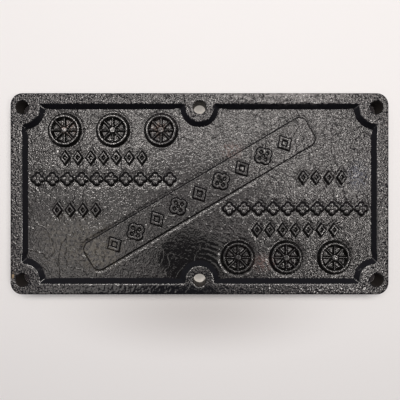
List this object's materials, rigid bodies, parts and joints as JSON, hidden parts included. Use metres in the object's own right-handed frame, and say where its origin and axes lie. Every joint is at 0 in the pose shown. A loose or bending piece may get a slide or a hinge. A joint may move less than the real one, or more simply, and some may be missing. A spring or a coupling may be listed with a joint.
{
  "type": "locomotive builders plate",
  "caption": "Rectangular cast-iron plate in gloss black enamel, with a raised rim, scalloped screw pads, a diagonal band and raised ornament.",
  "frame": {"origin": "centre of the flat back face, which is the lowest face when the plate lies on its back", "axes": "+X along the plate's length to the reader's right, +Y up its front, +Z out of its front face"},
  "size_m": [0.305, 0.163, 0.016],
  "materials": {
    "enamelled_field": "gloss",
    "enamelled_rim": "gloss",
    "enamelled_ornament": "gloss"
  },
  "bodies": {
    "root": {"backing_plate": "enamelled_field", "rim": "enamelled_rim", "diagonal_band": "enamelled_field", "band_lozenges": "enamelled_ornament", "band_quatrefoils": "enamelled_ornament", "upper_wheels": "enamelled_ornament", "lower_wheels": "enamelled_ornament", "upper_lozenge_row": "enamelled_ornament", "lower_lozenge_row": "enamelled_ornament", "upper_quatrefoil_row": "enamelled_ornament", "lower_quatrefoil_row": "enamelled_ornament", "upper_short_row": "enamelled_ornament", "lower_short_row": "enamelled_ornament"}
  },
  "joints": []
}
